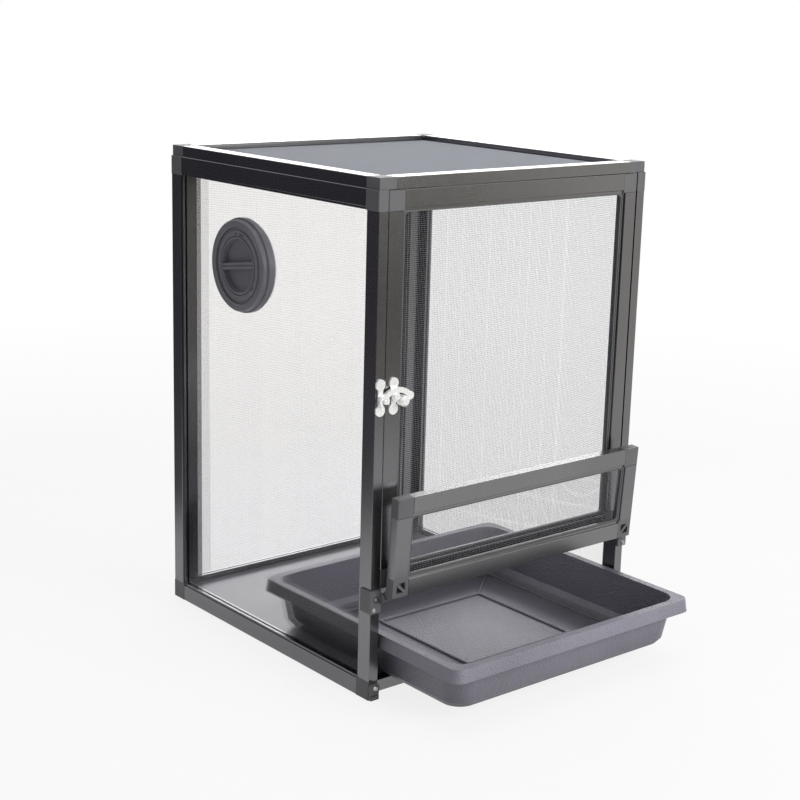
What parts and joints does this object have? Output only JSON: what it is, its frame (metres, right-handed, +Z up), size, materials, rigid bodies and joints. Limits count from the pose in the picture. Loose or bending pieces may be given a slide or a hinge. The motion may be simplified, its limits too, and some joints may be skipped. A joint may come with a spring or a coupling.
{
  "type": "reptile cage",
  "caption": "Upright framed reptile cage with mesh walls, a hinged front door, a drop flap and a sliding waste tray.",
  "frame": {"origin": "on the ground, at the centre of the square footprint of the frame", "axes": "+Z up, +Y to the back, +X to the right as seen from the front"},
  "size_m": [0.3283, 0.422, 0.46],
  "materials": {
    "frame_aluminium": "dark anodised, satin",
    "corner_plastic": "moulded, fine grain",
    "woven_mesh": "dark coated wire",
    "clear_sheet": "clear, smooth",
    "floor_sheet": "smooth sheet",
    "tray_plastic": "grained, dark grey",
    "port_plastic": "moulded, satin",
    "chrome_latch": "bright plated casting",
    "screw_steel": "bright zinc",
    "pin_steel": "turned",
    "bead_plastic": "smooth strip"
  },
  "bodies": {
    "cage": {"left_bottom_rail": "frame_aluminium", "left_front_post": "frame_aluminium", "left_top_rail": "frame_aluminium", "left_rear_post": "frame_aluminium", "left_corner_blocks": "corner_plastic", "left_flap_bracket": "corner_plastic", "right_bottom_rail": "frame_aluminium", "right_front_post": "frame_aluminium", "right_top_rail": "frame_aluminium", "right_rear_post": "frame_aluminium", "right_corner_blocks": "corner_plastic", "right_flap_bracket": "corner_plastic", "back_bottom_rail": "frame_aluminium", "back_left_stile": "frame_aluminium", "back_top_rail": "frame_aluminium", "back_right_stile": "frame_aluminium", "frame_pegs": "corner_plastic", "back_corner_blocks": "corner_plastic", "roof_corner_blocks": "corner_plastic", "roof_front_rail": "frame_aluminium", "roof_right_rail": "frame_aluminium", "roof_rear_rail": "frame_aluminium", "roof_left_rail": "frame_aluminium", "front_sill": "frame_aluminium", "back_net": "woven_mesh", "right_net": "woven_mesh", "roof_net": "woven_mesh", "left_panel": "clear_sheet", "floor_board": "floor_sheet", "port_ring": "port_plastic", "port_clamp_ring": "port_plastic", "latch_keeper": "chrome_latch", "frame_screws": "screw_steel", "latch_keeper_screws": "screw_steel", "door_pivots": "pin_steel", "flap_pivot_pins": "pin_steel"},
    "door": {"door_bottom_rail": "frame_aluminium", "door_hinge_stile": "frame_aluminium", "door_top_rail": "frame_aluminium", "door_latch_stile": "frame_aluminium", "door_corner_blocks": "corner_plastic", "door_net": "woven_mesh", "door_bead": "bead_plastic", "latch_base": "chrome_latch", "latch_base_screws": "screw_steel", "latch_rivet": "chrome_latch"},
    "flap": {"flap_bottom_rail": "frame_aluminium", "flap_right_stile": "frame_aluminium", "flap_top_rail": "frame_aluminium", "flap_left_stile": "frame_aluminium", "flap_upper_corners": "corner_plastic", "flap_hinge_corners": "corner_plastic", "flap_net": "woven_mesh", "flap_bead": "bead_plastic"},
    "tray": {"waste_tray": "tray_plastic"},
    "latch_hook": {"latch_hook": "chrome_latch"},
    "port_lid": {"port_lid": "port_plastic"},
    "left_clip": {"left_foot_clip": "corner_plastic"},
    "right_clip": {"right_foot_clip": "corner_plastic"}
  },
  "joints": [
    {"name": "door_hinge", "type": "hinge", "parent": "cage", "child": "door", "pos_m": [0.1469, -0.1575, 0.27], "axis": [0, 0, 1], "range_deg": [0, 1.2]},
    {"name": "flap_hinge", "type": "hinge", "parent": "cage", "child": "flap", "pos_m": [0, -0.1638, 0.0955], "axis": [1, 0, 0], "range_deg": [-3, 99]},
    {"name": "tray_slide", "type": "slide", "parent": "cage", "child": "tray", "axis": [0, -1, 0], "range_m": [-0.127, 0.2]},
    {"name": "latch_hook_turn", "type": "hinge", "parent": "door", "child": "latch_hook", "pos_m": [-0.14065, -0.1634, 0.275], "axis": [0, 1, 0], "range_deg": [0, 60]},
    {"name": "port_lid_turn", "type": "hinge", "parent": "cage", "child": "port_lid", "pos_m": [-0.162, 0.038, 0.36], "axis": [1, 0, 0], "range_deg": [0, 30]},
    {"name": "left_clip_turn", "type": "hinge", "parent": "cage", "child": "left_clip", "pos_m": [-0.1554, -0.1625, 0.0122], "axis": [0, -1, 0], "range_deg": [0, 90]},
    {"name": "right_clip_turn", "type": "hinge", "parent": "cage", "child": "right_clip", "pos_m": [0.1554, -0.1625, 0.0122], "axis": [0, 1, 0], "range_deg": [0, 90]}
  ]
}
